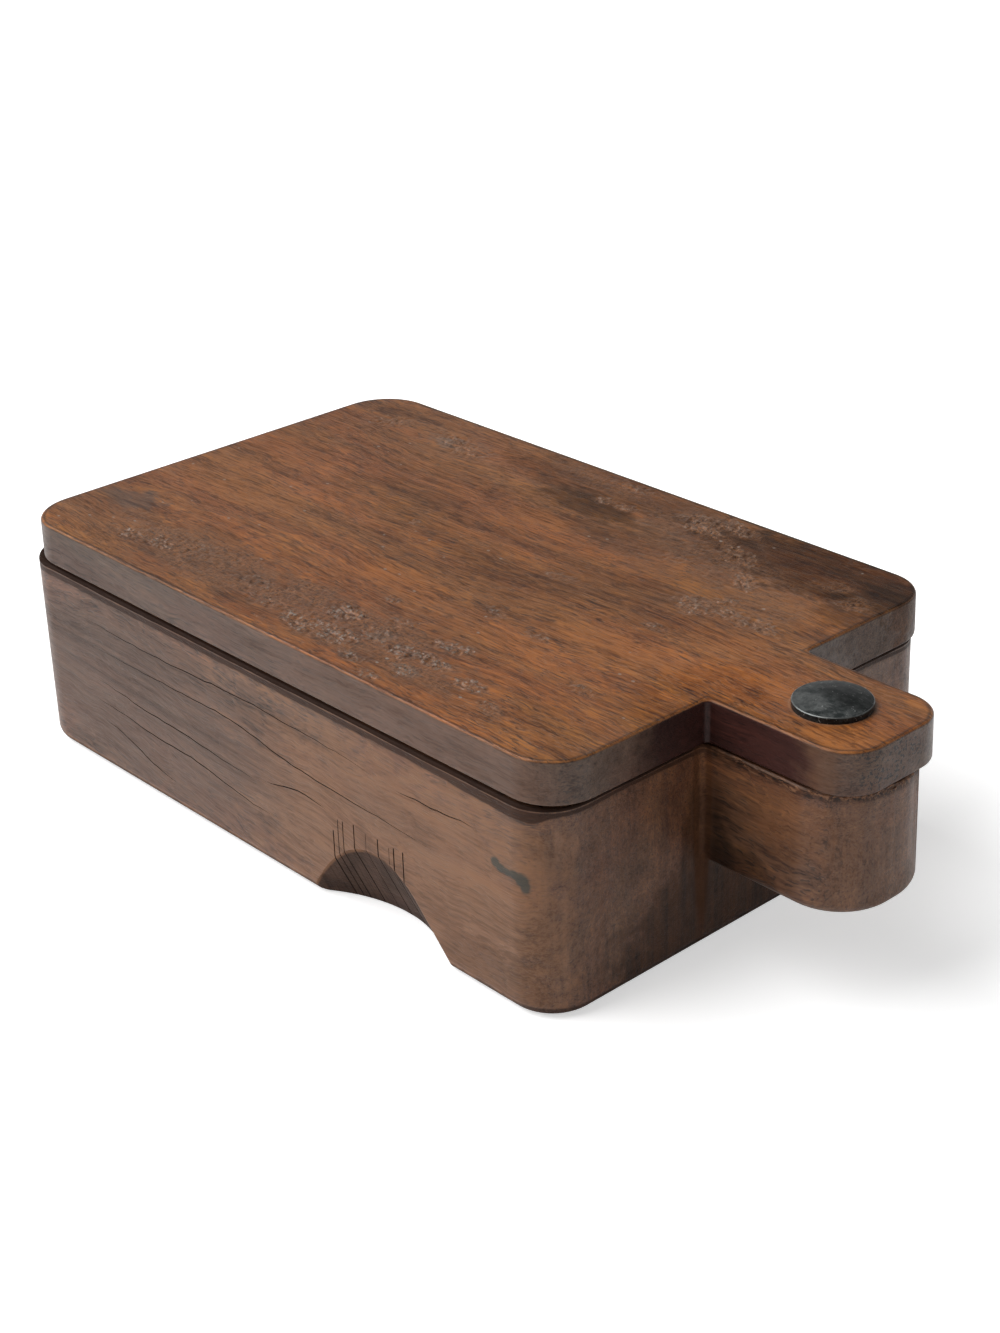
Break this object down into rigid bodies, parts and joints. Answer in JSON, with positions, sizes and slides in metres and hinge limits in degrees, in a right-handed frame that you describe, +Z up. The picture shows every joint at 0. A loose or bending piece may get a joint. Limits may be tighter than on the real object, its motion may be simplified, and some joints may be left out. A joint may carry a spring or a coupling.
{
  "type": "swivel-lid wooden box",
  "caption": "Low storage box carved from a block of dark wood, with pockets inside and a board lid that swivels level on an iron bolt in a handle at one end.",
  "frame": {"origin": "middle of the whole footprint, on the surface that the box stands on", "axes": "+X along the box towards the handle end, +Z up, and the long sides face -Y and +Y"},
  "size_m": [0.3458, 0.18, 0.0946],
  "materials": {
    "body_wood": "dark brown stained hardwood, waxed satin, grain along the box",
    "lid_wood": "red-brown stained hardwood, waxed satin, worn, with torn-grain patches",
    "black_iron": "blackened iron, satin, scuffed",
    "plain_steel": "dull plated steel"
  },
  "bodies": {
    "box": {"box_body": "body_wood", "spacer_washer": "plain_steel", "base_washer": "plain_steel"},
    "swivel_lid": {"lid": "lid_wood", "pivot_bolt": "black_iron", "pivot_nut": "plain_steel"}
  },
  "joints": [
    {"name": "lid_swivel", "type": "hinge", "parent": "box", "child": "swivel_lid", "pos_m": [0.1453, 0, 0.076], "axis": [0, 0, 1], "continuous": true}
  ]
}
